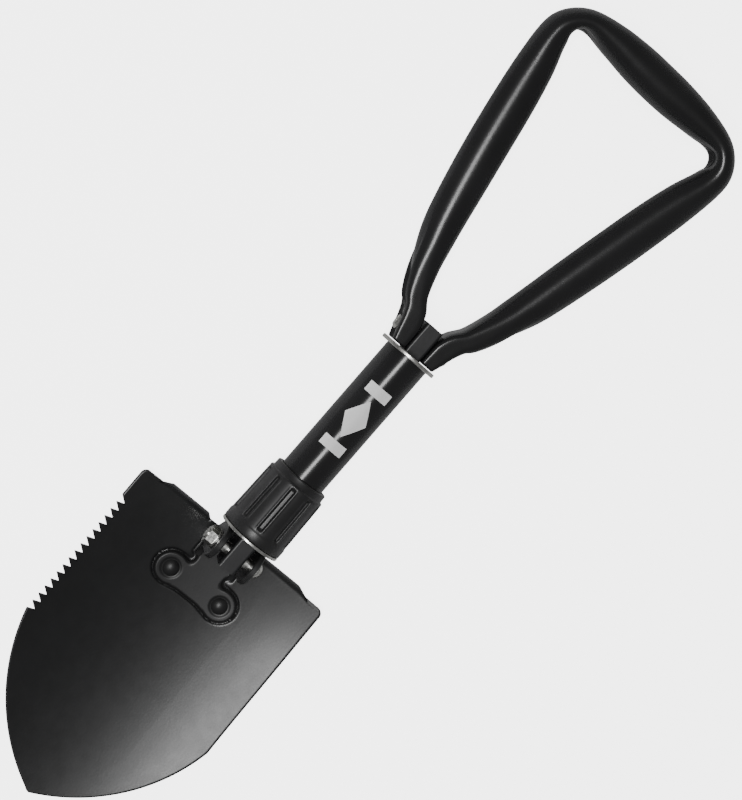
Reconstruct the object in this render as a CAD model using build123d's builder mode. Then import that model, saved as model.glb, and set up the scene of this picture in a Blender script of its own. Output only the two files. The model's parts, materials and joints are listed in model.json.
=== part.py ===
"""Folding camp shovel: blade, shaft with locking sleeve and collar, and a folding D-shaped handle.

The shovel lies on its back. +X runs along the shaft from the blade to the grip, +Y is the
saw-toothed side and +Z faces up, out of the blade's hollow side. The origin is the bottom centre
of the whole tool. All sizes are in millimetres.
"""
from build123d import *
from math import asin, cos, radians, sin, sqrt
import os

# ---------------------------------------------------------------- overall layout
overall_length = 470.4
tip_to_blade_pin = 156.0        # blade tip to the axis of the blade's hinge bolt
pin_spacing = 136.3             # blade bolt to handle bolt
shaft_height = 26.5             # shaft axis above the plane that the foot steps rest on
blade_pin_x = tip_to_blade_pin - overall_length / 2
shaft_z = shaft_height
handle_pin = pin_spacing        # handle bolt, measured along the shaft from the blade bolt

# ---------------------------------------------------------------- fits
running_gap = 0.05              # radial gap of a bolt in the holes that turn on it
side_gap = 0.2                  # gap between flat faces that turn against each other
seat_gap = 0.02                 # gap of fixed pieces that are pressed or screwed together

# ---------------------------------------------------------------- blade
sheet = 2.0                     # thickness of the blade and of the hinge bracket
blade_half_width = 58.0
blade_top = 2.2                 # top edge, from the blade bolt
plain_half_width = 57.5         # the side without teeth, at the top edge
saw_shoulder = (-86.0, 58.0)    # where each side turns into the pointed arch
plain_shoulder = (-88.0, -58.3)
saw_bow = (-122.0, 40.9)        # a point on each side of the arch
plain_bow = (-124.0, -42.3)
tip_flank = 1.6                 # half width of the slightly blunt tip
tip_blunt = 0.5                 # how far the tip stands out past its flanks
tip_y = -1.2                    # the tip is a little off the shaft's line
blade_corner = 3.2
front_depth = -22.5             # front face of the blade on its centre line, below the shaft axis
shell_half_width = 62.0
tip_lift_start = -30.0          # the centre line is flat up to here, then curves up
tip_lift_radius = 500.0
blade_stations = ((6.0, 4.3), (-40.0, 7.2), (-83.0, 7.5), (-120.0, 7.5), (-162.0, 7.5))
bracket_rise = 6.7              # how far the sides rise beside the rivets

tooth_count = 16                # gullets
tooth_pitch = 4.45
tooth_depth = 4.1
tooth_start = -14.85
tooth_lean = 0.72               # share of the pitch on a gullet's long side

step_inner = 18.0               # the two foot steps, bent back from the top edge
step_outer = 42.5
step_bottom = -shaft_height
step_reach = 1.7                # how far a step stands out past the top edge
step_bend = 1.6                 # outside radius of the bend

# ---------------------------------------------------------------- hinge bracket and rivets
rivet_x = -28.5
rivet_y = 15.7
rivet_shank = 2.5
rivet_head = 4.35
rivet_head_height = 2.0
rivet_tail = 4.2
rivet_tail_height = 1.2
dimple_radius = 5.2
dimple_depth = 0.5
lobe_radius = 8.6
waist = (-35.0, -22.0)
neck_half_width = 9.4
neck_top = -14.0
plate_blend = 2.4               # rounding of the plate's inner corners
ear_inner = 8.8
ear_outer = 11.7
ear_radius = 9.6
ear_foot = -15.0

# ---------------------------------------------------------------- bolts, nuts and washers
blade_bolt_radius = 3.0
blade_head_radius = 4.3
blade_head_height = 4.0         # a short cylinder under a domed cap
blade_cap_height = 2.8
blade_nut_flats = 9.0
blade_nut_height = 4.2
blade_washer_radius = 5.2
thin_washer = 1.0
handle_bolt_radius = 2.5
handle_head_radius = 4.1
handle_head_height = 3.4
handle_head_side = 1.6          # straight part of the pan head's edge
handle_head_top = 3.0           # radius of the pan head's flat top
recess_length = 4.6             # cross recess
recess_width = 0.9
recess_depth = 1.5
handle_nut_flats = 8.0
handle_nut_height = 3.8
handle_washer_radius = 4.7
nut_overlap = 0.8               # how far a bolt's end stands out of its nut

# ---------------------------------------------------------------- inner bar
bar_start = -7.6
bar_end = 144.9
bar_half_width = 4.75
bar_half_height = 8.0
bar_wall = 2.2

# ---------------------------------------------------------------- sleeve, ring, ferrule
sleeve_start = 41.6
sleeve_end = 125.7
sleeve_radius = 12.0
sleeve_wall = 1.3
ring_thickness = 2.0
ring_radius = 15.75
washer_bore = 9.7
ferrule_radius = 13.1
ferrule_length = 4.4

# ---------------------------------------------------------------- collar and its washer
washer_start = 10.2
washer_thickness = 1.8
washer_radius = 16.75
collar_start = 12.0
collar_end = 49.4
rim_end = 16.6
flute_start = 17.2
flute_end = 45.0
collar_rim_radius = 16.8
collar_low_radius = 16.5
collar_high_radius = 15.8
collar_top_radius = 14.6
collar_bore = 13.4
collar_lip_start = 46.6
collar_lip_bore = 12.3
flute_count = 10
flute_width = 2.7
flute_depth = 1.2
flute_angle = 82.0

# ---------------------------------------------------------------- handle
root_inner = 5.1                # inner faces of the flattened roots, beside the bar
root_outer = 14.0
root_reach = 8.3                # from the handle bolt to the roots' square ends
root_half_height = 8.9
root_corner = 3.2
root_end = 152.0
groove_floor = 11.4             # grooves pressed into the roots' outer faces, round the bolt
groove_half_height = 5.5
groove_start = 118.0
groove_end = 153.0
tube_wall = 1.1
# centre line of one side of the bent tube: along the shaft, out from it, heading,
# width in the plane of the D, thickness across it
leg_stations = (
    (142.0, 12.0, 14.0, 11.0, 17.5),
    (152.0, 18.4, 22.0, 13.4, 18.0),
    (170.0, 25.2, 17.5, 17.4, 17.5),
    (200.0, 33.4, 13.5, 20.9, 16.0),
    (236.0, 41.8, 12.5, 21.6, 15.5),
    (266.0, 48.7, 12.5, 20.2, 16.0),
)
grip_stations = (
    (303.4, 27.0, -86.0, 18.0, 19.0),
    (304.3, 13.0, -89.0, 19.7, 19.0),
    (304.4, 0.0, -90.0, 20.0, 19.0),
)
corner_centre = (287.0, 38.0)
corner_radius = 15.3
corner_bends = ((12.5, 16.2, 17.0), (-15.0, 14.6, 18.0), (-48.0, 14.0, 19.0), (-80.0, 15.4, 19.0))


def flat(z=0.0):
    """Plane parallel to the blade's rest plane, at height z over the shaft axis."""
    return Plane(origin=(blade_pin_x, 0, shaft_z + z), x_dir=(1, 0, 0), z_dir=(0, 0, 1))


def station(x):
    """Plane square to the shaft at x; its own axes are +Y and +Z, and it faces +X."""
    return Plane(origin=(blade_pin_x + x, 0, shaft_z), x_dir=(0, 1, 0), z_dir=(1, 0, 0))


def side(y):
    """Upright plane along the shaft at y; its own axes are +X and +Z, and it faces -Y."""
    return Plane(origin=(blade_pin_x, y, shaft_z), x_dir=(1, 0, 0), z_dir=(0, -1, 0))


def front_height(x, y, rise):
    """Height of the blade's front face where its sides rise by `rise` at blade_half_width."""
    lift = 0.0
    if x < tip_lift_start:
        lift = tip_lift_radius - sqrt(tip_lift_radius ** 2 - (tip_lift_start - x) ** 2)
    trough = (blade_half_width ** 2 + rise ** 2) / (2 * rise)
    return front_depth + lift + trough - sqrt(trough ** 2 - y ** 2)


def blade_layer(low, high):
    """Solid that follows the blade's front face, between the offsets low and high."""
    half = shell_half_width
    with BuildPart() as layer:
        for x, rise in blade_stations:
            edge = front_height(x, half, rise)
            middle = front_height(x, 0, rise)
            with BuildSketch(station(x)):
                with BuildLine():
                    ThreePointArc((-half, edge + low), (0, middle + low), (half, edge + low))
                    Line((half, edge + low), (half, edge + high))
                    ThreePointArc((half, edge + high), (0, middle + high), (-half, edge + high))
                    Line((-half, edge + high), (-half, edge + low))
                make_face()
        loft()
    return layer.part


def cap_middle(radius, height):
    """Point halfway along a spherical cap's profile, from the middle of its flat base."""
    sphere = (radius ** 2 + height ** 2) / (2 * height)
    half_angle = asin(radius / sphere) / 2
    return sphere * sin(half_angle), height - sphere * (1 - cos(half_angle))


def turned(x, profile):
    """Round piece about the Y axis through x, from its outline (radius, y)."""
    with BuildPart() as piece:
        with BuildSketch(flat()):
            with BuildLine():
                Polyline([(x + radius, y) for radius, y in profile], close=True)
            make_face()
        revolve(axis=Axis((blade_pin_x + x, 0, shaft_z), (0, 1, 0)))
    return piece.part


def hex_nut(x, start, height, flats, shank):
    """Hexagon nut on a bolt along Y, from start towards +Y."""
    with BuildPart() as piece:
        with BuildSketch(side(start)):
            with Locations((x, 0)):
                RegularPolygon(radius=flats / 2, side_count=6, major_radius=False)
                Circle(shank + seat_gap, mode=Mode.SUBTRACT)
        extrude(amount=-height)
    return piece.part


def pin_washer(x, start, outer, shank):
    """Flat washer on a bolt along Y."""
    with BuildPart() as piece:
        with BuildSketch(side(start)):
            with Locations((x, 0)):
                Circle(outer)
                Circle(shank + seat_gap, mode=Mode.SUBTRACT)
        extrude(amount=-thin_washer)
    return piece.part


os.makedirs("parts", exist_ok=True)

# ================================================================ blade
blade_sheet = blade_layer(-sheet, 0)
top_rise = blade_stations[0][1]
tip_flank_x = tip_blunt - tip_to_blade_pin
step_middle = (step_inner + step_outer) / 2
step_seam = front_height(0, step_middle, top_rise) - sheet / 2

with BuildPart() as blade:
    add(blade_sheet)
    with BuildSketch(flat(step_bottom)):
        with BuildLine():
            Line((blade_top, -plain_half_width), (blade_top, blade_half_width))
            Line((blade_top, blade_half_width), saw_shoulder)
            ThreePointArc(saw_shoulder, saw_bow, (tip_flank_x, tip_y + tip_flank))
            ThreePointArc((tip_flank_x, tip_y + tip_flank), (-tip_to_blade_pin, tip_y),
                          (tip_flank_x, tip_y - tip_flank))
            ThreePointArc((tip_flank_x, tip_y - tip_flank), plain_bow, plain_shoulder)
            Line(plain_shoulder, (blade_top, -plain_half_width))
        outline = make_face()
        fillet(outline.vertices().group_by(Axis.X)[-1], radius=blade_corner)
        with Locations((blade_top, step_middle), (blade_top, -step_middle)):
            Rectangle(2 * step_reach, step_outer - step_inner)
    extrude(amount=shaft_height, mode=Mode.INTERSECT)

    # the two foot steps, bent back along the top edge
    with BuildSketch(station(blade_top + step_reach - sheet)):
        with Locations((step_middle, (step_seam + step_bottom) / 2),
                       (-step_middle, (step_seam + step_bottom) / 2)):
            Rectangle(step_outer - step_inner, step_seam - step_bottom)
    extrude(amount=sheet)

    # saw teeth along one side
    with BuildSketch(flat(step_bottom)):
        for tooth in range(tooth_count):
            gullet = tooth_start - tooth * tooth_pitch
            with BuildLine():
                Polyline((gullet, blade_half_width + 1), (gullet, blade_half_width),
                         (gullet - tooth_lean * tooth_pitch, blade_half_width - tooth_depth),
                         (gullet - tooth_pitch, blade_half_width),
                         (gullet - tooth_pitch, blade_half_width + 1), close=True)
            make_face()
    extrude(amount=shaft_height, mode=Mode.SUBTRACT)

    # rivet holes
    with BuildSketch(flat(step_bottom)):
        with Locations((rivet_x, rivet_y), (rivet_x, -rivet_y)):
            Circle(rivet_shank + seat_gap)
    extrude(amount=shaft_height, mode=Mode.SUBTRACT)

    bend_edges = blade.edges().filter_by(
        lambda edge: abs(edge.center().X - (blade_pin_x + blade_top + step_reach)) < 0.01
        and edge.center().Z > shaft_z + step_bottom + 2 and edge.length > 20)
    fillet(bend_edges, radius=step_bend)
blade.part.label = "blade"
export_step(blade.part, "parts/blade.step")

# ================================================================ hinge bracket
bracket_layer = blade_layer(0, sheet)
plate_top = front_height(0, rivet_y, bracket_rise) + sheet

with BuildPart() as blade_bracket:
    add(bracket_layer)
    with BuildSketch(flat(front_depth - sheet)) as bracket_plan:
        with Locations((rivet_x, rivet_y), (rivet_x, -rivet_y)):
            Circle(lobe_radius)
        with Locations(((waist[0] + waist[1]) / 2, 0)):
            Rectangle(waist[1] - waist[0], 2 * rivet_y)
        with Locations(((waist[0] + neck_top) / 2, 0)):
            Rectangle(neck_top - waist[0], 2 * neck_half_width)
        with Locations(((ear_foot + blade_top) / 2, 0)):
            Rectangle(blade_top - ear_foot, 2 * ear_outer)
        inner_corners = bracket_plan.vertices().filter_by(
            lambda corner: abs(corner.Y) < rivet_y
            and blade_pin_x + waist[0] - 0.1 < corner.X < blade_pin_x + ear_foot + 0.1)
        fillet(inner_corners, radius=plate_blend)
    extrude(amount=shaft_height, mode=Mode.INTERSECT)

    # ears, one each side of the bar
    for ear in (ear_outer, -ear_inner):
        with BuildSketch(side(ear)):
            with BuildLine():
                Line((ear_foot, front_depth + 1), (ear_foot, -18.6))
                Line((ear_foot, -18.6), (-ear_radius, -14.7))
                Line((-ear_radius, -14.7), (-ear_radius, 0))
                ThreePointArc((-ear_radius, 0), (0, ear_radius), (ear_radius, 0))
                Line((ear_radius, 0), (ear_radius, -12))
                Line((ear_radius, -12), (blade_top, front_depth + 1))
                Line((blade_top, front_depth + 1), (ear_foot, front_depth + 1))
            make_face()
        extrude(amount=ear_outer - ear_inner)

    # hole for the hinge bolt
    with BuildSketch(side(ear_outer + 1)):
        Circle(blade_bolt_radius + running_gap)
    extrude(amount=2 * ear_outer + 2, mode=Mode.SUBTRACT)

    # dimples and holes for the rivets
    with BuildSketch(flat(plate_top - dimple_depth)):
        with Locations((rivet_x, rivet_y), (rivet_x, -rivet_y)):
            Circle(dimple_radius)
    extrude(amount=5, mode=Mode.SUBTRACT)
    with BuildSketch(flat(front_depth - 1)):
        with Locations((rivet_x, rivet_y), (rivet_x, -rivet_y)):
            Circle(rivet_shank + seat_gap)
    extrude(amount=8, mode=Mode.SUBTRACT)
blade_bracket.part.label = "blade_bracket"
export_step(blade_bracket.part, "parts/blade_bracket.step")

# ================================================================ rivets
head_base = plate_top - dimple_depth
tail_base = front_depth - sheet
cap_x, cap_z = cap_middle(rivet_head, rivet_head_height)

with BuildPart() as blade_rivets:
    for y in (rivet_y, -rivet_y):
        with BuildSketch(Plane(origin=(blade_pin_x + rivet_x, y, shaft_z), x_dir=(1, 0, 0),
                               z_dir=(0, -1, 0))):
            with BuildLine():
                Line((0, tail_base - rivet_tail_height),
                     (rivet_tail, tail_base - rivet_tail_height))
                Line((rivet_tail, tail_base - rivet_tail_height), (rivet_tail, tail_base))
                Line((rivet_tail, tail_base), (rivet_shank, tail_base))
                Line((rivet_shank, tail_base), (rivet_shank, head_base))
                Line((rivet_shank, head_base), (rivet_head, head_base))
                ThreePointArc((rivet_head, head_base), (cap_x, head_base + cap_z),
                              (0, head_base + rivet_head_height))
                Line((0, head_base + rivet_head_height), (0, tail_base - rivet_tail_height))
            make_face()
        revolve(axis=Axis((blade_pin_x + rivet_x, y, shaft_z), (0, 0, 1)))
blade_rivets.part.label = "blade_rivets"
export_step(blade_rivets.part, "parts/blade_rivets.step")

# ================================================================ blade bolt
blade_seat = ear_outer + side_gap
blade_bolt_end = blade_seat + thin_washer + blade_nut_height + nut_overlap
cap_base = -blade_seat - blade_head_height + blade_cap_height
cap_x, cap_y = cap_middle(blade_head_radius, blade_cap_height)

with BuildPart() as blade_bolt:
    with BuildSketch(flat()):
        with BuildLine():
            Line((0, blade_bolt_end), (blade_bolt_radius, blade_bolt_end))
            Line((blade_bolt_radius, blade_bolt_end), (blade_bolt_radius, -blade_seat))
            Line((blade_bolt_radius, -blade_seat), (blade_head_radius, -blade_seat))
            Line((blade_head_radius, -blade_seat), (blade_head_radius, cap_base))
            ThreePointArc((blade_head_radius, cap_base), (cap_x, cap_base - cap_y),
                          (0, cap_base - blade_cap_height))
            Line((0, -blade_seat - blade_head_height), (0, blade_bolt_end))
        make_face()
    revolve(axis=Axis((blade_pin_x, 0, shaft_z), (0, 1, 0)))
blade_bolt.part.label = "blade_bolt"
export_step(blade_bolt.part, "parts/blade_bolt.step")

with BuildPart() as blade_bolt_washer:
    add(pin_washer(0, blade_seat, blade_washer_radius, blade_bolt_radius))
blade_bolt_washer.part.label = "blade_bolt_washer"
export_step(blade_bolt_washer.part, "parts/blade_bolt_washer.step")

with BuildPart() as blade_bolt_nut:
    add(hex_nut(0, blade_seat + thin_washer, blade_nut_height, blade_nut_flats, blade_bolt_radius))
blade_bolt_nut.part.label = "blade_bolt_nut"
export_step(blade_bolt_nut.part, "parts/blade_bolt_nut.step")

# ================================================================ inner bar
with BuildPart() as inner_bar:
    with BuildSketch(station(bar_start)):
        Rectangle(2 * bar_half_width, 2 * bar_half_height)
    extrude(amount=bar_end - bar_start)
    fillet(inner_bar.edges().filter_by(Axis.X).group_by(Axis.Z)[-1], radius=1.4)
    with BuildSketch(station(bar_start)):
        with Locations((0, -bar_wall)):
            Rectangle(2 * (bar_half_width - bar_wall), 2 * bar_half_height)
    extrude(amount=bar_end - bar_start, mode=Mode.SUBTRACT)
    with BuildSketch(side(bar_half_width + 1)):
        Circle(blade_bolt_radius + seat_gap)
        with Locations((handle_pin, 0)):
            Circle(handle_bolt_radius + seat_gap)
    extrude(amount=2 * bar_half_width + 2, mode=Mode.SUBTRACT)
inner_bar.part.label = "inner_bar"
export_step(inner_bar.part, "parts/inner_bar.step")

# ================================================================ sleeve
with BuildPart() as sleeve:
    with BuildSketch(station(sleeve_start)):
        Circle(sleeve_radius)
        Circle(sleeve_radius - sleeve_wall, mode=Mode.SUBTRACT)
    extrude(amount=sleeve_end - sleeve_start)
sleeve.part.label = "sleeve"
export_step(sleeve.part, "parts/sleeve.step")

with BuildPart() as sleeve_ring:
    with BuildSketch(station(sleeve_end)):
        Circle(ring_radius)
        Circle(washer_bore, mode=Mode.SUBTRACT)
    extrude(amount=ring_thickness)
    fillet(sleeve_ring.edges().filter_by(GeomType.CIRCLE).group_by(SortBy.RADIUS)[-1], radius=0.6)
sleeve_ring.part.label = "sleeve_ring"
export_step(sleeve_ring.part, "parts/sleeve_ring.step")

with BuildPart() as sleeve_ferrule:
    with BuildSketch(station(sleeve_start)):
        Circle(ferrule_radius)
        Circle(sleeve_radius + seat_gap, mode=Mode.SUBTRACT)
    extrude(amount=ferrule_length)
sleeve_ferrule.part.label = "sleeve_ferrule"
export_step(sleeve_ferrule.part, "parts/sleeve_ferrule.step")

# ================================================================ collar
with BuildPart() as collar:
    with BuildSketch(flat()):
        with BuildLine():
            Polyline((collar_start, collar_bore), (collar_start, collar_rim_radius),
                     (rim_end, collar_rim_radius), (flute_start, collar_low_radius),
                     (flute_end, collar_high_radius), (flute_end + 0.8, collar_top_radius),
                     (collar_end, collar_top_radius), (collar_end, collar_lip_bore),
                     (collar_lip_start, collar_lip_bore), (collar_lip_start, collar_bore),
                     close=True)
        make_face()
    revolve(axis=Axis((0, 0, shaft_z), (1, 0, 0)))
    fillet(collar.edges().filter_by(GeomType.CIRCLE).group_by(Axis.X)[-1].sort_by(SortBy.RADIUS)[-1],
           radius=0.8)
    with Locations(station((flute_start + flute_end) / 2)):
        with PolarLocations(collar_low_radius, flute_count, start_angle=flute_angle):
            Box(2 * flute_depth, flute_width, flute_end - flute_start - 1.6, mode=Mode.SUBTRACT)
collar.part.label = "collar"
export_step(collar.part, "parts/collar.step")

with BuildPart() as collar_washer:
    with BuildSketch(station(washer_start)):
        Circle(washer_radius)
        Circle(washer_bore, mode=Mode.SUBTRACT)
    extrude(amount=washer_thickness - side_gap)
    fillet(collar_washer.edges().filter_by(GeomType.CIRCLE).group_by(SortBy.RADIUS)[-1], radius=0.5)
collar_washer.part.label = "collar_washer"
export_step(collar_washer.part, "parts/collar_washer.step")


# ================================================================ handle
corner_stations = tuple(
    (corner_centre[0] - corner_radius * sin(radians(heading)),
     corner_centre[1] + corner_radius * cos(radians(heading)), heading, width, thickness)
    for heading, width, thickness in corner_bends)


def tube_run(wall, stations):
    """Stretch of the handle's tube through its stations, smaller all round by wall."""
    with BuildPart() as run:
        for x, y, heading, width, thickness in stations:
            turn = radians(heading)
            place = Plane(origin=(blade_pin_x + x, y, shaft_z), x_dir=(-sin(turn), cos(turn), 0),
                          z_dir=(cos(turn), sin(turn), 0))
            with BuildSketch(place):
                Ellipse(width / 2 - wall, thickness / 2 - wall)
        loft()
    return run.part


def handle_half(wall, legs):
    """One side of the handle's bent tube: leg, corner and half of the grip."""
    with BuildPart() as half:
        add(tube_run(wall, legs + corner_stations[:1]))
        add(tube_run(wall, corner_stations))
        add(tube_run(wall, corner_stations[-1:] + grip_stations))
    return half.part


handle_tube = handle_half(0, leg_stations)
handle_void = handle_half(tube_wall, leg_stations[1:])

with BuildPart() as handle:
    add(handle_tube)
    with BuildSketch(side(root_outer)):
        with Locations(((handle_pin - root_reach + root_end) / 2, 0)):
            Rectangle(root_end - handle_pin + root_reach, 2 * root_half_height)
    root = extrude(amount=root_outer - root_inner)
    fillet(root.edges().filter_by(Axis.Y).group_by(Axis.X)[0], radius=root_corner)
    mirror(about=Plane.XZ)
    add(handle_void, mode=Mode.SUBTRACT)
    add(handle_void.mirror(Plane.XZ), mode=Mode.SUBTRACT)
    with BuildSketch(side(root_outer + 6)):
        with Locations((handle_pin, 0)):
            Circle(handle_bolt_radius + running_gap)
    extrude(amount=2 * root_outer + 12, mode=Mode.SUBTRACT)
    for floor, depth in ((groove_floor, -9.0), (-groove_floor, 9.0)):
        with BuildSketch(side(floor)):
            with Locations(((groove_start + groove_end) / 2, 0)):
                SlotOverall(groove_end - groove_start, 2 * groove_half_height)
        extrude(amount=depth, mode=Mode.SUBTRACT)
handle.part.label = "handle"
export_step(handle.part, "parts/handle.step")

# ================================================================ handle bolt
handle_seat = groove_floor + side_gap
handle_head_start = handle_seat + thin_washer
handle_head_end = handle_head_start + handle_head_height
handle_nut_start = -handle_seat - handle_nut_height
handle_bolt_end = handle_nut_start - nut_overlap

with BuildPart() as handle_bolt:
    add(turned(handle_pin, ((0, handle_bolt_end), (handle_bolt_radius, handle_bolt_end),
                            (handle_bolt_radius, handle_head_start),
                            (handle_head_radius, handle_head_start),
                            (handle_head_radius, handle_head_start + handle_head_side),
                            (handle_head_top, handle_head_end), (0, handle_head_end))))
    with BuildSketch(side(handle_head_end)):
        with Locations((handle_pin, 0)):
            Rectangle(recess_length, recess_width)
            Rectangle(recess_width, recess_length)
    extrude(amount=recess_depth, mode=Mode.SUBTRACT)
handle_bolt.part.label = "handle_bolt"
export_step(handle_bolt.part, "parts/handle_bolt.step")

with BuildPart() as handle_bolt_washer:
    add(pin_washer(handle_pin, handle_seat, handle_washer_radius, handle_bolt_radius))
handle_bolt_washer.part.label = "handle_bolt_washer"
export_step(handle_bolt_washer.part, "parts/handle_bolt_washer.step")

with BuildPart() as handle_bolt_nut:
    add(hex_nut(handle_pin, handle_nut_start, handle_nut_height, handle_nut_flats,
                handle_bolt_radius))
handle_bolt_nut.part.label = "handle_bolt_nut"
export_step(handle_bolt_nut.part, "parts/handle_bolt_nut.step")
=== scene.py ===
"""Looks of the folding camp shovel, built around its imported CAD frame.

Sizes in the builders below are millimetres measured from the blade's hinge bolt: x along the
shaft towards the grip, y towards the saw teeth, z up. spot() turns them into the frame's metres.
"""
import json
from math import cos, exp, pi, radians, sin, sqrt

import bmesh
import bpy
from mathutils import Matrix, Vector


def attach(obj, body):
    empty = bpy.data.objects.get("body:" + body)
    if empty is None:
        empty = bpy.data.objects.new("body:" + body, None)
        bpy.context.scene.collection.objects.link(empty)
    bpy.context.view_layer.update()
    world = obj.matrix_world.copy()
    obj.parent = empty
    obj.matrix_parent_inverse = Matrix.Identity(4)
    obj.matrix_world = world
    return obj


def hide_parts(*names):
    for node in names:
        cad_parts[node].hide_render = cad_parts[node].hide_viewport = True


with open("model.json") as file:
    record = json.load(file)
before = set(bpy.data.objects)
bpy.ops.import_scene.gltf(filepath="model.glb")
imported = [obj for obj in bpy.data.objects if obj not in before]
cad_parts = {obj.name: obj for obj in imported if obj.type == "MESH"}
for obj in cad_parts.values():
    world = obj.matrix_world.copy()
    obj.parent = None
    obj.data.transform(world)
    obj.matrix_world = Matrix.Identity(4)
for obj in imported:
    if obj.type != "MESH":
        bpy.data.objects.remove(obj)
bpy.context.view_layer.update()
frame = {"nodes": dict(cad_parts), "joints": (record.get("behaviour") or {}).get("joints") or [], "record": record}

NODES = frame["nodes"]
JOINTS = {joint["name"]: joint for joint in frame["joints"]}
BLADE_PIN = Vector(JOINTS["blade_fold"]["pos_m"])
MM = 0.001


def spot(x, y, z):
    """Point of the frame, in metres, from millimetres measured from the blade's hinge bolt."""
    return BLADE_PIN + Vector((x, y, z)) * MM


def blend_between(start, end, value):
    """0 before start, 1 after end, and a smooth step between them."""
    t = min(max((value - start) / (end - start), 0.0), 1.0)
    return t * t * (3 - 2 * t)


# ---------------------------------------------------------------- camera
CAMERA_DISTANCE = 0.80
CAMERA_ROLL = radians(12.0)      # how far the view leans over the saw-toothed side
SHAFT_SLOPE = radians(49.0)      # the shaft's slope in the picture
VIEW_FOOT = 127.0                # the camera stands square over this place on the shaft
VIEW_CENTRE = (99.0, -0.6)       # the middle of the picture, along and across the shaft
PICTURE_HEIGHT = 0.3832          # height of the picture at the shaft, in metres
SENSOR = 36.0


def add_camera():
    away = Vector((0, sin(CAMERA_ROLL), cos(CAMERA_ROLL)))
    place = spot(VIEW_FOOT, 0, 0) + away * CAMERA_DISTANCE
    back = (place - spot(VIEW_CENTRE[0], VIEW_CENTRE[1], 0)).normalized()
    along = (Vector((1, 0, 0)) - back * back.x).normalized()
    across = back.cross(along)
    right = along * cos(SHAFT_SLOPE) - across * sin(SHAFT_SLOPE)
    up = along * sin(SHAFT_SLOPE) + across * cos(SHAFT_SLOPE)
    data = bpy.data.cameras.new("camera")
    data.sensor_width = SENSOR
    data.lens = SENSOR * CAMERA_DISTANCE / PICTURE_HEIGHT
    camera = bpy.data.objects.new("camera", data)
    camera.matrix_world = Matrix((
        (right.x, up.x, back.x, place.x),
        (right.y, up.y, back.y, place.y),
        (right.z, up.z, back.z, place.z),
        (0, 0, 0, 1)))
    bpy.context.scene.collection.objects.link(camera)
    bpy.context.scene.camera = camera
    return camera


camera = add_camera()


# ---------------------------------------------------------------- materials
class Shader:
    """A principled material with a short way to add nodes."""

    def __init__(self, name):
        self.material = bpy.data.materials.new(name)
        self.material.use_nodes = True
        self.tree = self.material.node_tree
        self.surface = self.tree.nodes["Principled BSDF"]
        self.place = self.tree.nodes.new("ShaderNodeTexCoord").outputs["Object"]

    def noise(self, size_mm, detail=3.0, roughness=0.5):
        node = self.tree.nodes.new("ShaderNodeTexNoise")
        node.inputs["Scale"].default_value = 1.0 / (size_mm * MM)
        node.inputs["Detail"].default_value = detail
        node.inputs["Roughness"].default_value = roughness
        self.tree.links.new(self.place, node.inputs["Vector"])
        return node.outputs["Fac"]

    def span(self, value, low, high, from_low=0.3, from_high=0.7):
        node = self.tree.nodes.new("ShaderNodeMapRange")
        node.inputs["From Min"].default_value = from_low
        node.inputs["From Max"].default_value = from_high
        node.inputs["To Min"].default_value = low
        node.inputs["To Max"].default_value = high
        self.tree.links.new(value, node.inputs["Value"])
        return node.outputs["Result"]

    def mix(self, factor, first, second):
        node = self.tree.nodes.new("ShaderNodeMix")
        node.data_type = "RGBA"
        self.tree.links.new(factor, node.inputs["Factor"])
        for socket, value in ((node.inputs["A"], first), (node.inputs["B"], second)):
            if isinstance(value, tuple):
                socket.default_value = (*value, 1.0)
            else:
                self.tree.links.new(value, socket)
        return node.outputs["Result"]

    def bumps(self, *layers):
        """Stacked bump layers, each (height, distance in mm, strength)."""
        normal = None
        for height, distance_mm, strength in layers:
            node = self.tree.nodes.new("ShaderNodeBump")
            node.inputs["Distance"].default_value = distance_mm * MM
            node.inputs["Strength"].default_value = strength
            self.tree.links.new(height, node.inputs["Height"])
            if normal:
                self.tree.links.new(normal, node.inputs["Normal"])
            normal = node.outputs["Normal"]
        self.tree.links.new(normal, self.surface.inputs["Normal"])

    def set(self, **values):
        for name, value in values.items():
            socket = self.surface.inputs[name.replace("_", " ")]
            if hasattr(value, "is_linked"):
                self.tree.links.new(value, socket)
            else:
                socket.default_value = value


def enamel(name, tone, roughness, peel_mm, peel_depth, speck=0.35):
    """Black coating on steel: slight tone and gloss clouds, orange peel and fine dust specks."""
    shader = Shader(name)
    clouds = shader.noise(38.0, 4.0, 0.6)
    peel = shader.noise(peel_mm, 2.0, 0.5)
    grit = shader.noise(0.28, 2.0, 0.6)
    dark = tuple(0.82 * part for part in tone)
    light = tuple(1.22 * part for part in tone)
    base = shader.mix(shader.span(clouds, 0.0, 1.0), dark, light)
    specks = shader.span(shader.noise(0.9, 1.0, 0.4), 0.0, speck, 0.70, 0.80)
    shader.set(Base_Color=shader.mix(specks, base, tuple(2.4 * part for part in tone)))
    smear = shader.noise(6.0, 4.0, 0.6)
    shader.set(Roughness=shader.span(smear, roughness * 0.95, roughness * 1.06))
    shader.set(IOR=1.5)
    shader.bumps((peel, peel_depth, 0.5), (grit, 0.02, 0.35))
    return shader.material


def zinc(name, tone, roughness):
    """Dull zinc plate with uneven crystals and a few dark stains."""
    shader = Shader(name)
    crystals = shader.noise(1.3, 4.0, 0.65)
    stains = shader.noise(4.5, 3.0, 0.6)
    base = shader.mix(shader.span(crystals, 0.0, 1.0), tuple(0.72 * part for part in tone), tone)
    stained = shader.mix(shader.span(stains, 0.0, 0.6, 0.55, 0.75), base,
                         tuple(0.35 * part for part in tone))
    shader.set(Base_Color=stained, Metallic=1.0)
    shader.set(Roughness=shader.span(crystals, roughness * 0.7, roughness * 1.4))
    shader.bumps((crystals, 0.06, 0.5), (shader.noise(0.35, 2.0, 0.5), 0.02, 0.4))
    return shader.material


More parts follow.
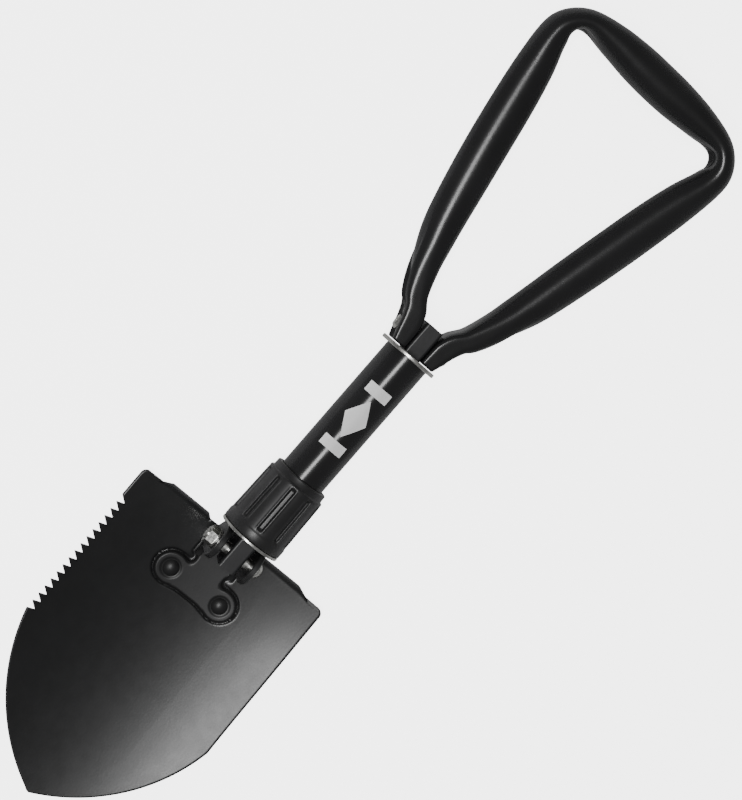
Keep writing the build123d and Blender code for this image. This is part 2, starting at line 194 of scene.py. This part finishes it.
def nylon(name, tone, roughness):
    """Moulded black nylon: faint spark-eroded grain and soft sink marks."""
    shader = Shader(name)
    sink = shader.noise(9.0, 2.0, 0.5)
    grain = shader.noise(0.45, 3.0, 0.6)
    shader.set(Base_Color=shader.mix(shader.span(sink, 0.0, 1.0), tuple(0.85 * part for part in tone),
                                     tuple(1.2 * part for part in tone)))
    shader.set(Roughness=shader.span(grain, roughness * 0.85, roughness * 1.2))
    shader.bumps((sink, 0.15, 0.25), (grain, 0.03, 0.4))
    return shader.material


def white_ink(name):
    """Slightly worn white print."""
    shader = Shader(name)
    rub = shader.noise(0.8, 4.0, 0.7)
    shader.set(Base_Color=shader.mix(shader.span(rub, 0.0, 0.5, 0.62, 0.8), (0.86, 0.86, 0.86),
                                     (0.55, 0.55, 0.55)))
    shader.set(Roughness=shader.span(rub, 0.42, 0.55))
    shader.bumps((rub, 0.01, 0.3))
    return shader.material


BLACK = (0.012, 0.012, 0.0125)
MATERIALS = {
    "blade_paint": enamel("blade_paint", (0.010, 0.010, 0.0105), 0.30, 1.1, 0.03),
    "bracket_paint": enamel("bracket_paint", BLACK, 0.42, 0.9, 0.04),
    "bar_paint": enamel("bar_paint", (0.016, 0.016, 0.017), 0.34, 1.3, 0.04),
    "sleeve_paint": enamel("sleeve_paint", BLACK, 0.20, 1.8, 0.02),
    "handle_paint": enamel("handle_paint", BLACK, 0.24, 1.8, 0.03),
    "collar_nylon": nylon("collar_nylon", (0.014, 0.014, 0.0145), 0.36),
    "zinc": zinc("zinc", (0.80, 0.80, 0.77), 0.26),
    "ferrule_steel": zinc("ferrule_steel", (0.22, 0.22, 0.22), 0.4),
}
SLOTS = {part["node"]: part["material_slot"] for part in frame["record"]["subparts"]}

for node_name, node in NODES.items():
    node.data.materials.clear()
    node.data.materials.append(MATERIALS[SLOTS[node_name]])


# ---------------------------------------------------------------- meshes
def add_mesh(name, points, faces, material, body, smooth_below=radians(38.0)):
    """Piece from points in metres, shaded smooth except at sharp edges, riding on a body."""
    mesh = bpy.data.meshes.new(name)
    mesh.from_pydata([tuple(point) for point in points], [], faces)
    mesh.materials.append(MATERIALS[material])
    shape = bmesh.new()
    shape.from_mesh(mesh)
    bmesh.ops.recalc_face_normals(shape, faces=shape.faces)
    for face in shape.faces:
        face.smooth = True
    for edge in shape.edges:
        edge.smooth = edge.calc_face_angle(0.0) < smooth_below
    shape.to_mesh(mesh)
    shape.free()
    piece = bpy.data.objects.new(name, mesh)
    bpy.context.scene.collection.objects.link(piece)
    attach(piece, body)
    return piece


def through(rows, t):
    """Smooth curve through rows of numbers, at t counted in rows."""
    step = min(int(t), len(rows) - 2)
    u = t - step
    before, here = rows[max(step - 1, 0)], rows[step]
    ahead, after = rows[step + 1], rows[min(step + 2, len(rows) - 1)]
    return [0.5 * (2 * b + (c - a) * u + (2 * a - 5 * b + 4 * c - d) * u ** 2
                   + (3 * b - a - 3 * c + d) * u ** 3)
            for a, b, c, d in zip(before, here, ahead, after)]


def oval(width, thickness, square, count):
    """Evenly spaced points round a section, from an ellipse (0) to a rounded block (1)."""
    power = 2.0 / (2.0 + 5.0 * square)
    fine = 720
    outline = []
    for step in range(fine + 1):
        c, s = cos(2 * pi * step / fine), sin(2 * pi * step / fine)
        outline.append((width / 2 * abs(c) ** power * (1 if c >= 0 else -1),
                        thickness / 2 * abs(s) ** power * (1 if s >= 0 else -1)))
    lengths = [0.0]
    for (u0, w0), (u1, w1) in zip(outline, outline[1:]):
        lengths.append(lengths[-1] + sqrt((u1 - u0) ** 2 + (w1 - w0) ** 2))
    points, at = [], 0
    for step in range(count):
        goal = lengths[-1] * step / count
        while lengths[at + 1] < goal:
            at += 1
        share = (goal - lengths[at]) / max(lengths[at + 1] - lengths[at], 1e-9)
        points.append(tuple(p + (q - p) * share for p, q in zip(outline[at], outline[at + 1])))
    return points


def add_band(points, faces, loops, closed=False):
    """Adds quads between neighbouring loops, and joins the last loop to the first or caps both ends."""
    first, count = len(points), len(loops[0])
    for loop in loops:
        points += [spot(*place) for place in loop]
    starts = [first + k * count for k in range(len(loops))]
    for a, b in zip(starts, starts[1:] + (starts[:1] if closed else [])):
        faces += [(a + k, a + (k + 1) % count, b + (k + 1) % count, b + k) for k in range(count)]
    if not closed:
        faces += [tuple(range(start, start + count)) for start in (starts[0], starts[-1])]


# ---------------------------------------------------------------- blade's outline and form
SHEET = 2.0
HALF_WIDTH = 58.0
BLADE_TOP = 2.2
FRONT_DEPTH = -22.5              # front face on the centre line, below the bolt
SAW_EDGE = ((-86.0, 58.0), (-122.0, 40.9), (-155.9, -0.6))       # shoulder, bow and tip
PLAIN_EDGE = ((-88.0, -58.3), (-124.0, -42.3), (-155.9, -1.8))
PLAIN_TOP = -57.5
CORNER = 3.2
LIFT_START, LIFT_RADIUS = -30.0, 500.0     # the centre line curves up towards the tip
RISES = ((-162.0, 7.5), (-120.0, 7.5), (-83.0, 7.5), (-40.0, 7.2), (BLADE_TOP, 4.5))   # of the sides
TEETH, TOOTH_START, PITCH, TOOTH_DEPTH, TOOTH_LEAN = 16, -14.85, 4.45, 4.1, 0.72
EDGE_DROP, EDGE_ROUND = 0.42, 0.9          # the front's rounded rim, how deep and how wide

RIVET = (-28.5, 15.7)
LOBE_RADIUS = 8.6                # the bracket's plate: a lobe round each rivet
PLATE_FROM = -34.6
WAIST_TO, WAIST_HALF = -22.0, 14.0
NECK_TO, NECK_HALF = -13.0, 9.2
FOOT_FROM, FOOT_HALF = -15.0, 11.7
LINE_DEPTH, LINE_WIDTH = 0.6, 0.55         # the line pressed into the blade round the plate


def arc_at(points, x):
    """Height at x of the circle through three points, on the bow's side."""
    (x1, y1), (x2, y2), (x3, y3) = points
    d = 2 * (x1 * (y2 - y3) + x2 * (y3 - y1) + x3 * (y1 - y2))
    a, b, c = x1 ** 2 + y1 ** 2, x2 ** 2 + y2 ** 2, x3 ** 2 + y3 ** 2
    cx = (a * (y2 - y3) + b * (y3 - y1) + c * (y1 - y2)) / d
    cy = (a * (x3 - x2) + b * (x1 - x3) + c * (x2 - x1)) / d
    reach = sqrt(max((x1 - cx) ** 2 + (y1 - cy) ** 2 - (x - cx) ** 2, 0.0))
    return cy + (reach if y2 > cy else -reach)


def corner_cut(x):
    """How far a rounded top corner pulls the side in."""
    over = x - (BLADE_TOP - CORNER)
    return 0.0 if over <= 0 else CORNER - sqrt(max(CORNER ** 2 - min(over, CORNER) ** 2, 0.0))


def saw_edge(x):
    """The toothed side's distance out at x."""
    edge = SAW_EDGE[0][1] if x > SAW_EDGE[0][0] else arc_at(SAW_EDGE, x)
    along = (TOOTH_START - x) / PITCH
    if 0 < along < TEETH:
        phase = along % 1.0
        edge -= TOOTH_DEPTH * min(phase / TOOTH_LEAN, (1 - phase) / (1 - TOOTH_LEAN))
    return edge - corner_cut(x)


def plain_edge(x):
    """The other side's distance out at x, which is negative."""
    shoulder, height = PLAIN_EDGE[0]
    if x <= shoulder:
        return arc_at(PLAIN_EDGE, x)
    return height + (PLAIN_TOP - height) * (x - shoulder) / (BLADE_TOP - shoulder) + corner_cut(x)


def front_z(x, y):
    """Height of the blade's front face, a trough whose centre line lifts towards the tip."""
    place = 0.0
    for (x0, _), (x1, _) in zip(RISES, RISES[1:]):
        place += min(max((x - x0) / (x1 - x0), 0.0), 1.0)
    rise = through(RISES, min(place, len(RISES) - 1.001))[1]
    over = max(LIFT_START - x, 0.0)
    lift = LIFT_RADIUS - sqrt(LIFT_RADIUS ** 2 - over ** 2)
    trough = (HALF_WIDTH ** 2 + rise ** 2) / (2 * rise)
    return FRONT_DEPTH + lift + trough - sqrt(trough ** 2 - y ** 2)


def block_distance(x, y, x0, x1, half):
    """Distance outside (+) or inside (-) a rectangle centred on the shaft."""
    dx, dy = abs(x - (x0 + x1) / 2) - (x1 - x0) / 2, abs(y) - half
    return sqrt(max(dx, 0.0) ** 2 + max(dy, 0.0) ** 2) + min(max(dx, dy), 0.0)


def soft_union(a, b, blend):
    """Distance to two shapes joined with a rounded inner corner."""
    share = max(blend - abs(a - b), 0.0) / blend
    return min(a, b) - share ** 2 * blend / 4


def plate_distance(x, y):
    """Distance outside (+) or inside (-) the dog-bone outline of the hinge bracket's plate."""
    lobe = sqrt((x - RIVET[0]) ** 2 + (abs(y) - RIVET[1]) ** 2) - LOBE_RADIUS
    waist = block_distance(x, y, PLATE_FROM, WAIST_TO, WAIST_HALF)
    neck = block_distance(x, y, PLATE_FROM, NECK_TO, NECK_HALF)
    foot = block_distance(x, y, FOOT_FROM, BLADE_TOP, FOOT_HALF)
    return soft_union(soft_union(lobe, waist, 4.0), soft_union(neck, foot, 3.0), 4.0)


# ---------------------------------------------------------------- blade's mesh
STEP_FROM, STEP_TO = 18.0, 42.5  # the foot steps' places across the blade
STEP_REACH, STEP_BEND = 3.9, 3.4 # how far past the bolt they stand, and the radius of their bend
STEP_BOTTOM = -26.5
STEP_ROWS = 16                   # rows of the mesh down a foot step
STEP_START = BLADE_TOP - 1.6
MIDDLE_HALF = 29.0               # even columns reach this far out
MIDDLE_COLUMNS = 112
SPREAD = 3                       # wide columns between those and the rim
RIMS = (0.0, 0.25, 0.55, 0.9, 1.4, 2.6)    # distance of the outer columns from the edge


def blade_stations(fine):
    """Places of the rows along the blade, closer at the tip, the bracket and the teeth."""
    stations = [-155.98 + 14.0 * (k / 40) ** 2 for k in range(0, 41, fine)]
    stations += [-141.0 + k for k in range(0, 100, fine)]
    stations += [-41.5 + 0.5 * k for k in range(0, 84, fine)]
    stations += [TOOTH_START - PITCH * (k + part) for k in range(TEETH)
                 for part in (0.0, 0.24, 0.48, TOOTH_LEAN, 0.86)] + [TOOTH_START - PITCH * TEETH]
    return sorted({round(x, 2) for x in stations if x < STEP_START})


def column_place(x, column, inner):
    """How far out a column is at x, with inner even columns in the middle."""
    low, high = plain_edge(x), saw_edge(x)
    middle, half = (low + high) / 2, (high - low) / 2
    calm = min(half * 0.62, MIDDLE_HALF)
    shift = middle * (calm / MIDDLE_HALF if calm < MIDDLE_HALF else 0.0)
    if abs(column) <= inner // 2:
        return shift + calm * column / (inner / 2)
    edge = high if column > 0 else low
    start = shift + (calm if column > 0 else -calm)
    step = abs(column) - inner // 2
    room = abs(edge - start)
    if step <= SPREAD:
        return start + (edge - start) * step / (SPREAD + 1) * max(1 - RIMS[-1] / room, 0.5)
    rim = RIMS[SPREAD + len(RIMS) - 1 - step]
    if room < 2 * RIMS[-1]:
        rim = room * 0.5 * rim / RIMS[-1]
    return edge - rim if column > 0 else edge + rim


def front_point(x, y, share):
    """Point of the front face, and its tilt where share of the way down a foot step."""
    rim = min(y - plain_edge(x), saw_edge(x) - y)
    z = front_z(x, y) - EDGE_DROP * (1 - min(rim / EDGE_ROUND, 1.0)) ** 1.5
    z -= LINE_DEPTH * exp(-((plate_distance(x, y) - LINE_WIDTH) / LINE_WIDTH) ** 2)
    bent = min(blend_between(STEP_FROM - 2.2, STEP_FROM + 0.6, abs(y)),
               1 - blend_between(STEP_TO - 0.6, STEP_TO + 2.2, abs(y)))
    if share == 0 or bent <= 0:
        return Vector((x, y, z)), 0.0
    drop = front_z(x, y) - STEP_BOTTOM
    curve = pi / 2 * STEP_BEND
    run = share * (curve + drop - STEP_BEND)
    turn = min(run, curve) / STEP_BEND
    step_x = STEP_REACH - STEP_BEND + (STEP_BEND * sin(turn))
    step_z = z - STEP_BEND * (1 - cos(turn)) - max(run - curve, 0.0)
    return Vector((x + (step_x - x) * bent, y, z + (step_z - z) * bent)), turn * bent


def blade_mesh():
    """One bent sheet: the front, the same points a sheet's thickness behind, and the edges."""
    fine = 1
    inner = MIDDLE_COLUMNS // fine
    stations = blade_stations(fine)
    last = stations[-1]
    lines = [(x, 0.0) for x in stations]
    lines += [(last + (BLADE_TOP - last) * share, share)
              for share in (k / STEP_ROWS for k in range(1, STEP_ROWS + 1))]
    outermost = inner // 2 + SPREAD + len(RIMS) - 1
    columns = range(-outermost, outermost + 1)
    front = [[front_point(x, column_place(x, column, inner), share) for column in columns]
             for x, share in lines]
    rows, wide = len(front), len(columns)
    points = [spot(*point) for line in front for point, _ in line]
    points += [spot(*(point - Vector((sin(tilt), 0, cos(tilt))) * SHEET))
               for line in front for point, tilt in line]
    deck = rows * wide
    faces = []
    for i in range(rows - 1):
        for j in range(wide - 1):
            a, b, c, d = i * wide + j, i * wide + j + 1, (i + 1) * wide + j + 1, (i + 1) * wide + j
            faces.append((a, b, c, d))
            faces.append((a + deck, d + deck, c + deck, b + deck))
        for j in (0, wide - 1):
            a, b = i * wide + j, (i + 1) * wide + j
            faces.append((a, b, b + deck, a + deck))
    for i in (0, rows - 1):
        for j in range(wide - 1):
            a, b = i * wide + j, i * wide + j + 1
            faces.append((a, b, b + deck, a + deck))
    return points, faces


blade_points, blade_faces = blade_mesh()
blade_shell = add_mesh("blade_shell", blade_points, blade_faces, "blade_paint", "blade_assembly")
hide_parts("blade")


# ---------------------------------------------------------------- hinge bracket
PLATE_TOP = BLADE_TOP + 0.3      # the mesh starts a little past the plate and is drawn in to it
PLATE_ROUND = 1.5                # rounding of the plate's edge
PLATE_SINK = 0.5                 # the rounding goes on this far below the blade's front
SEAT_INNER, SEAT_OUTER, SEAT_DEPTH = 4.4, 5.9, 0.5     # the dish round each rivet
EAR_INNER, EAR_OUTER, EAR_BEVEL = 8.8, 11.7, 0.45
EAR_RADIUS = 9.6
EAR_FOOT = ((-EAR_RADIUS, -13.4), (-10.0, -15.0), (-11.2, -16.6), (-13.2, -17.8), (-15.0, -18.4),
            (-15.0, -22.0), (BLADE_TOP, -22.0), (EAR_RADIUS - 1.2, -14.2), (EAR_RADIUS, -12.0))
WEB = ((-2.0, -22.4), (8.0, -22.4), (8.5, -22.2), (8.8, -21.8), (8.8, -21.0), (8.6, -20.6), (8.1, -20.4),
       (-2.0, -20.4))            # section of the plate's end between the ears


def drawn_to_plate(x, y):
    """The same place, or the nearest one on the plate's outline if it is outside."""
    for _ in range(3):
        gap = plate_distance(x, y)
        if gap <= 0:
            break
        slope_x = (plate_distance(x + 0.01, y) - gap) / 0.01
        slope_y = (plate_distance(x, y + 0.01) - gap) / 0.01
        size = max(slope_x ** 2 + slope_y ** 2, 0.05)
        x, y = x - gap * slope_x / size, y - gap * slope_y / size
    return x, y


def plate_height(x, y):
    """Height of the plate's face above the blade's front."""
    inside = min(max(-plate_distance(x, y) / PLATE_ROUND, 0.0), 1.0)
    height = (SHEET + PLATE_SINK) * sqrt(1 - (1 - inside) ** 2) - PLATE_SINK
    around = sqrt((x - RIVET[0]) ** 2 + (abs(y) - RIVET[1]) ** 2)
    return height - SEAT_DEPTH * (1 - blend_between(SEAT_INNER, SEAT_OUTER, around))


def add_plate(points, faces):
    """The plate as a rounded relief on the blade."""
    step = 0.34
    across, along = int(25.2 / step), int(40.0 / step)
    index = {}

    def corner(i, j):
        if (i, j) not in index:
            x, y = drawn_to_plate(PLATE_TOP - i * step, j * step)
            index[i, j] = len(points)
            points.append(spot(x, y, front_z(x, y) + plate_height(x, y)))
        return index[i, j]

    for i in range(along):
        for j in range(-across, across):
            cell = ((i, j), (i, j + 1), (i + 1, j + 1), (i + 1, j))
            if any(plate_distance(PLATE_TOP - a * step, b * step) < -0.1 * step for a, b in cell):
                faces.append(tuple(corner(a, b) for a, b in cell))


def ear_loops(hand):
    """The ear's outline at four places across its thickness, the outer two inset as a bevel."""
    turns = 30
    outline = [(EAR_RADIUS * cos(pi * k / turns), EAR_RADIUS * sin(pi * k / turns))
               for k in range(turns + 1)]
    outline += EAR_FOOT
    inset = []
    for k, (x, z) in enumerate(outline):
        (x0, z0), (x1, z1) = outline[k - 1], outline[(k + 1) % len(outline)]
        length = sqrt((x1 - x0) ** 2 + (z1 - z0) ** 2)
        inset.append((x - (z1 - z0) / length * EAR_BEVEL, z + (x1 - x0) / length * EAR_BEVEL))
    return [[(x, hand * y, z) for x, z in loop]
            for loop, y in ((inset, EAR_INNER), (outline, EAR_INNER + EAR_BEVEL),
                            (outline, EAR_OUTER - EAR_BEVEL), (inset, EAR_OUTER))]


def bracket_mesh():
    """The plate, an ear each side of the shaft, and the web between the ears."""
    points, faces = [], []
    add_plate(points, faces)
    for hand in (1, -1):
        add_band(points, faces, ear_loops(hand))
    add_band(points, faces, [[(x, y, z) for x, z in WEB]
                             for y in (-EAR_INNER - 0.2, EAR_INNER + 0.2)])
    return points, faces


bracket_points, bracket_faces = bracket_mesh()
bracket = add_mesh("hinge_bracket", bracket_points, bracket_faces, "bracket_paint",
                   "blade_assembly", smooth_below=radians(28.0))
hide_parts("blade_bracket")


# ---------------------------------------------------------------- handle
# centre line of the saw side's half of the bent tube: x, y, width in the plane of the D,
# thickness across it, squareness, and depth of the groove in its outer face
HANDLE_PATH = (
    (128.0, 8.9, 7.6, 17.2, 1.0, 1.2), (134.0, 9.9, 9.6, 17.6, 1.0, 3.2),
    (140.0, 11.0, 11.4, 17.8, 0.9, 4.8), (146.0, 13.4, 12.6, 17.8, 0.6, 4.4),
    (152.0, 17.9, 12.6, 17.8, 0.35, 3.4), (164.0, 23.2, 15.4, 17.4, 0.1, 1.7),
    (176.0, 27.1, 17.9, 16.9, 0.0, 0.5), (188.0, 30.5, 19.4, 16.4, 0.0, 0.0),
    (206.0, 34.8, 20.7, 15.9, 0.0, 0.0), (228.0, 39.8, 21.3, 15.6, 0.0, 0.0),
    (250.0, 44.5, 21.0, 15.6, 0.0, 0.0), (268.0, 48.5, 19.4, 16.2, 0.0, 0.0),
    (282.6, 51.9, 16.0, 17.2, 0.0, 0.0), (291.0, 51.8, 14.4, 18.2, 0.0, 0.0),
    (297.7, 47.4, 13.2, 18.8, 0.0, 0.0), (301.4, 40.0, 13.6, 19.0, 0.0, 0.0),
    (302.6, 27.0, 16.9, 19.0, 0.0, 0.0), (302.6, 13.0, 19.6, 19.0, 0.0, 0.0),
    (302.5, 0.0, 20.2, 19.0, 0.0, 0.0))
ROOT_ROWS = 3.4                  # rows of the path in a flattened root
ROOT_FACE = 5.1                  # inner faces of the roots
CORNER_ROW = 14.0                # row of the path at the middle of a corner
LEAN_FROM, LEAN_TO = 140.0, 400.0
HANDLE_LEAN = 6.4                # the bent tube isn't quite square: sideways lean, reached at LEAN_TO
PINCH = {1: 2.4, -1: 1.2}        # how far each corner's inner wall is drawn in, saw side first
DENT_DEPTH = {1: 2.2, -1: 4.2}   # and how far its middle has collapsed
DENT_HALF = 5.0
CREASE, CREASE_WAVE = 0.30, 1.5
GROOVE_INNER, GROOVE_OUTER = 4.4, 6.2      # the groove's floor ends and its walls end
END_ROUND, END_ROWS = 0.10, 0.22           # the roots' rounded ends


def handle_mesh():
    """One tube from root to root, swept along the path with a section that changes on the way."""
    rows = list(HANDLE_PATH) + [(x, -y, *rest) for x, y, *rest in reversed(HANDLE_PATH[:-1])]
    around, per_row = ((112, 10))
    last = len(rows) - 1
    loops = []
    for ring in range(last * per_row + 1):
        t = ring / per_row
        x, y, width, thickness, square, groove = through(rows, t)
        x0, y0 = through(rows, max(t - 0.05, 0))[:2]
        x1, y1 = through(rows, min(t + 0.05, last))[:2]
        length = sqrt((x1 - x0) ** 2 + (y1 - y0) ** 2)
        half = 1 if t <= last / 2 else -1
        blocky = blend_between(0.15, 0.8, square)
        normal_x = -(y1 - y0) / length * (1 - blocky)
        normal_y = (x1 - x0) / length * (1 - blocky) + half * blocky
        from_end = min(t, last - t)
        end_round = 1 - END_ROUND * (1 - min(from_end / END_ROWS, 1.0)) ** 2
        corner = exp(-(from_end - CORNER_ROW) ** 2)
        lean = -HANDLE_LEAN * blend_between(LEAN_FROM, LEAN_TO, x)
        loop = []
        for u, w in oval(width * end_round, thickness * end_round, max(square, 0.0), around):
            if u > 0:
                u -= max(groove, 0.0) * (1 - blend_between(GROOVE_INNER, GROOVE_OUTER, abs(w)))
            else:
                inside = -u / (width / 2)
                crease = 1 + CREASE * cos(w * CREASE_WAVE + half)
                collapse = DENT_DEPTH[half] * crease * exp(-(w / DENT_HALF) ** 2)
                u += corner * inside ** 2 * (PINCH[half] + collapse)
            place_y = y + u * normal_y
            if from_end < ROOT_ROWS and abs(place_y) < ROOT_FACE:
                place_y = half * ROOT_FACE
            loop.append((x + u * normal_x, place_y + lean, w))
        loops.append(loop)
    points, faces = [], []
    add_band(points, faces, loops)
    return points, faces


handle_points, handle_faces = handle_mesh()
handle_tube = add_mesh("handle_tube", handle_points, handle_faces, "handle_paint",
                       "handle_assembly")
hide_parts("handle")


# ---------------------------------------------------------------- collar
COLLAR_GRIP = (17.2, 45.0)       # the fluted stretch
COLLAR_PROFILE = (               # outline of the collar: along the shaft, radius
    (12.0, 13.4), (12.0, 16.3), (12.2, 16.65), (12.6, 16.8), (16.2, 16.8), (16.7, 16.7), (17.2, 16.45),
    (45.0, 15.8), (45.3, 15.6), (45.7, 14.9), (46.0, 14.65), (48.8, 14.55), (49.2, 14.4), (49.4, 14.0),
    (49.4, 12.3), (46.6, 12.3), (46.6, 13.4))
OUTSIDE = 15.0                   # radii above this are on the fluted outside
FLUTE_FROM, FLUTE_TO, FLUTE_END = 18.2, 44.2, 1.3
FLUTES, FLUTE_FIRST, FLUTE_DEPTH = 10, radians(82.0), 1.25
FLUTE_FLOOR, FLUTE_HALF = 0.75, 1.55       # half widths of a flute's floor and mouth
LIP_HEIGHT, LIP_PLACE, LIP_WIDTH = 0.16, 1.95, 0.45


def collar_mesh():
    """Turned collar with rounded flutes, each with a slight lip."""
    around = 720
    profile = []
    for (x0, r0), (x1, r1) in zip(COLLAR_PROFILE, COLLAR_PROFILE[1:] + COLLAR_PROFILE[:1]):
        steps = 40 if (x0, x1) == COLLAR_GRIP else 1
        profile += [(x0 + (x1 - x0) * k / steps, r0 + (r1 - r0) * k / steps) for k in range(steps)]
    pitch = 2 * pi / FLUTES
    loops = []
    for x, radius in profile:
        ends = blend_between(FLUTE_FROM, FLUTE_FROM + FLUTE_END, x) * (
            1 - blend_between(FLUTE_TO - FLUTE_END, FLUTE_TO, x))
        loop = []
        for k in range(around):
            turn = 2 * pi * k / around
            off = abs((turn - FLUTE_FIRST + pitch / 2) % pitch - pitch / 2) * radius
            reach = radius
            if radius > OUTSIDE:
                reach -= FLUTE_DEPTH * ends * (1 - blend_between(FLUTE_FLOOR, FLUTE_HALF, off))
                reach += LIP_HEIGHT * ends * exp(-((off - LIP_PLACE) / LIP_WIDTH) ** 2)
            loop.append((x, reach * cos(turn), reach * sin(turn)))
        loops.append(loop)
    points, faces = [], []
    add_band(points, faces, loops, closed=True)
    return points, faces


collar_points, collar_faces = collar_mesh()
collar_shell = add_mesh("collar_shell", collar_points, collar_faces, "collar_nylon", "collar_grip",
                        smooth_below=radians(50.0))
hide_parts("collar")


# ---------------------------------------------------------------- printed badge on the sleeve
PRINT_RADIUS = 12.04
PRINT_TURN = radians(6.8)        # the badge's middle leans towards the saw teeth
PRINT_HALF = 6.7                 # half its width round the tube
BAR_STARTS, BAR_LENGTH = (68.5, 101.3), 5.6
DIAMOND = (76.6, 87.7, 98.8)     # its two ends and its middle along the shaft


def add_patch(points, faces, corners, steps=10):
    """A four-cornered patch wrapped round the tube, each corner given along it and round it."""
    first = len(points)
    for i in range(steps + 1):
        for j in range(steps + 1):
            a, b = i / steps, j / steps
            weights = ((1 - a) * (1 - b), a * (1 - b), a * b, (1 - a) * b)
            x = sum(k * corner[0] for k, corner in zip(weights, corners))
            arc = sum(k * corner[1] for k, corner in zip(weights, corners))
            turn = PRINT_TURN + arc / PRINT_RADIUS
            points.append(spot(x, PRINT_RADIUS * sin(turn), PRINT_RADIUS * cos(turn)))
    for i in range(steps):
        for j in range(steps):
            corner = first + i * (steps + 1) + j
            faces.append((corner, corner + 1, corner + steps + 2, corner + steps + 1))


def badge_mesh():
    """A plain long diamond between two bars."""
    points, faces, half = [], [], PRINT_HALF
    for x in BAR_STARTS:
        end = x + BAR_LENGTH
        add_patch(points, faces, ((x, -half), (end, -half), (end, half), (x, half)))
    near, middle, far = DIAMOND
    add_patch(points, faces, ((middle, -half), (far, 0), (middle, half), (near, 0)))
    return points, faces


MATERIALS["white_ink"] = white_ink("white_ink")
badge_points, badge_faces = badge_mesh()
add_mesh("sleeve_badge", badge_points, badge_faces, "white_ink", "sleeve_assembly")


# ---------------------------------------------------------------- softened edges of the CAD pieces
EDGE_WIDTHS = {"blade_bolt": 0.2, "blade_bolt_nut": 0.4,
               "handle_bolt": 0.15, "handle_bolt_nut": 0.4, "inner_bar": 0.3,
               "collar_washer": 0.2, "sleeve_ring": 0.2, "sleeve_ferrule": 0.25}
for node_name, width in EDGE_WIDTHS.items():
    bevel = NODES[node_name].modifiers.new("soft_edges", "BEVEL")
    bevel.width = width * MM
    bevel.segments = 2
    bevel.limit_method = "ANGLE"
    bevel.angle_limit = radians(50.0)
    bevel.harden_normals = True


# ---------------------------------------------------------------- floor and light
FLOOR_REACH = 3.0
FLOOR_GLOW = 4.0
REFLECTED_GLOW = 0.27            # the ground as the gloss of the paint shows it, dimmer than it looks
WORLD_GLOW = 0.17
KEY_PLACE, KEY_TARGET = (-0.075, 0.25, 1.25), (-0.06, 0, 0)
KEY_SIZE, KEY_POWER = (0.65, 0.24), 10.6


def add_floor(name, drop, tone, glow):
    mesh = bpy.data.meshes.new(name)
    reach = FLOOR_REACH
    mesh.from_pydata([(-reach, -reach, 0), (reach, -reach, 0), (reach, reach, 0), (-reach, reach, 0)],
                     [], [(0, 1, 2, 3)])
    floor = bpy.data.objects.new(name, mesh)
    floor.location.z = -drop
    bpy.context.scene.collection.objects.link(floor)
    shader = Shader(name)
    shader.set(Base_Color=(tone, tone, tone, 1.0), Roughness=0.9)
    shader.set(Emission_Color=(1.0, 1.0, 1.0, 1.0), Emission_Strength=glow)
    mesh.materials.append(shader.material)
    return floor


def add_light(name, place, target, size, power):
    data = bpy.data.lights.new(name, "AREA")
    data.shape = "RECTANGLE"
    data.size, data.size_y = size
    data.energy = power
    light = bpy.data.objects.new(name, data)
    light.location = place
    light.rotation_euler = (Vector(target) - Vector(place)).to_track_quat("-Z", "Y").to_euler()
    light.visible_camera = False
    bpy.context.scene.collection.objects.link(light)
    return light


def add_world(strength):
    world = bpy.data.worlds.new("studio")
    world.use_nodes = True
    world.node_tree.nodes["Background"].inputs["Color"].default_value = (1, 1, 1, 1)
    world.node_tree.nodes["Background"].inputs["Strength"].default_value = strength
    bpy.context.scene.world = world


add_floor("floor", 0.0005, 0.92, FLOOR_GLOW).visible_glossy = False
reflected = add_floor("reflected_floor", 0.0015, 0.02, REFLECTED_GLOW)
reflected.visible_camera = reflected.visible_diffuse = reflected.visible_shadow = False
add_world(WORLD_GLOW)
add_light("key", KEY_PLACE, KEY_TARGET, KEY_SIZE, KEY_POWER)
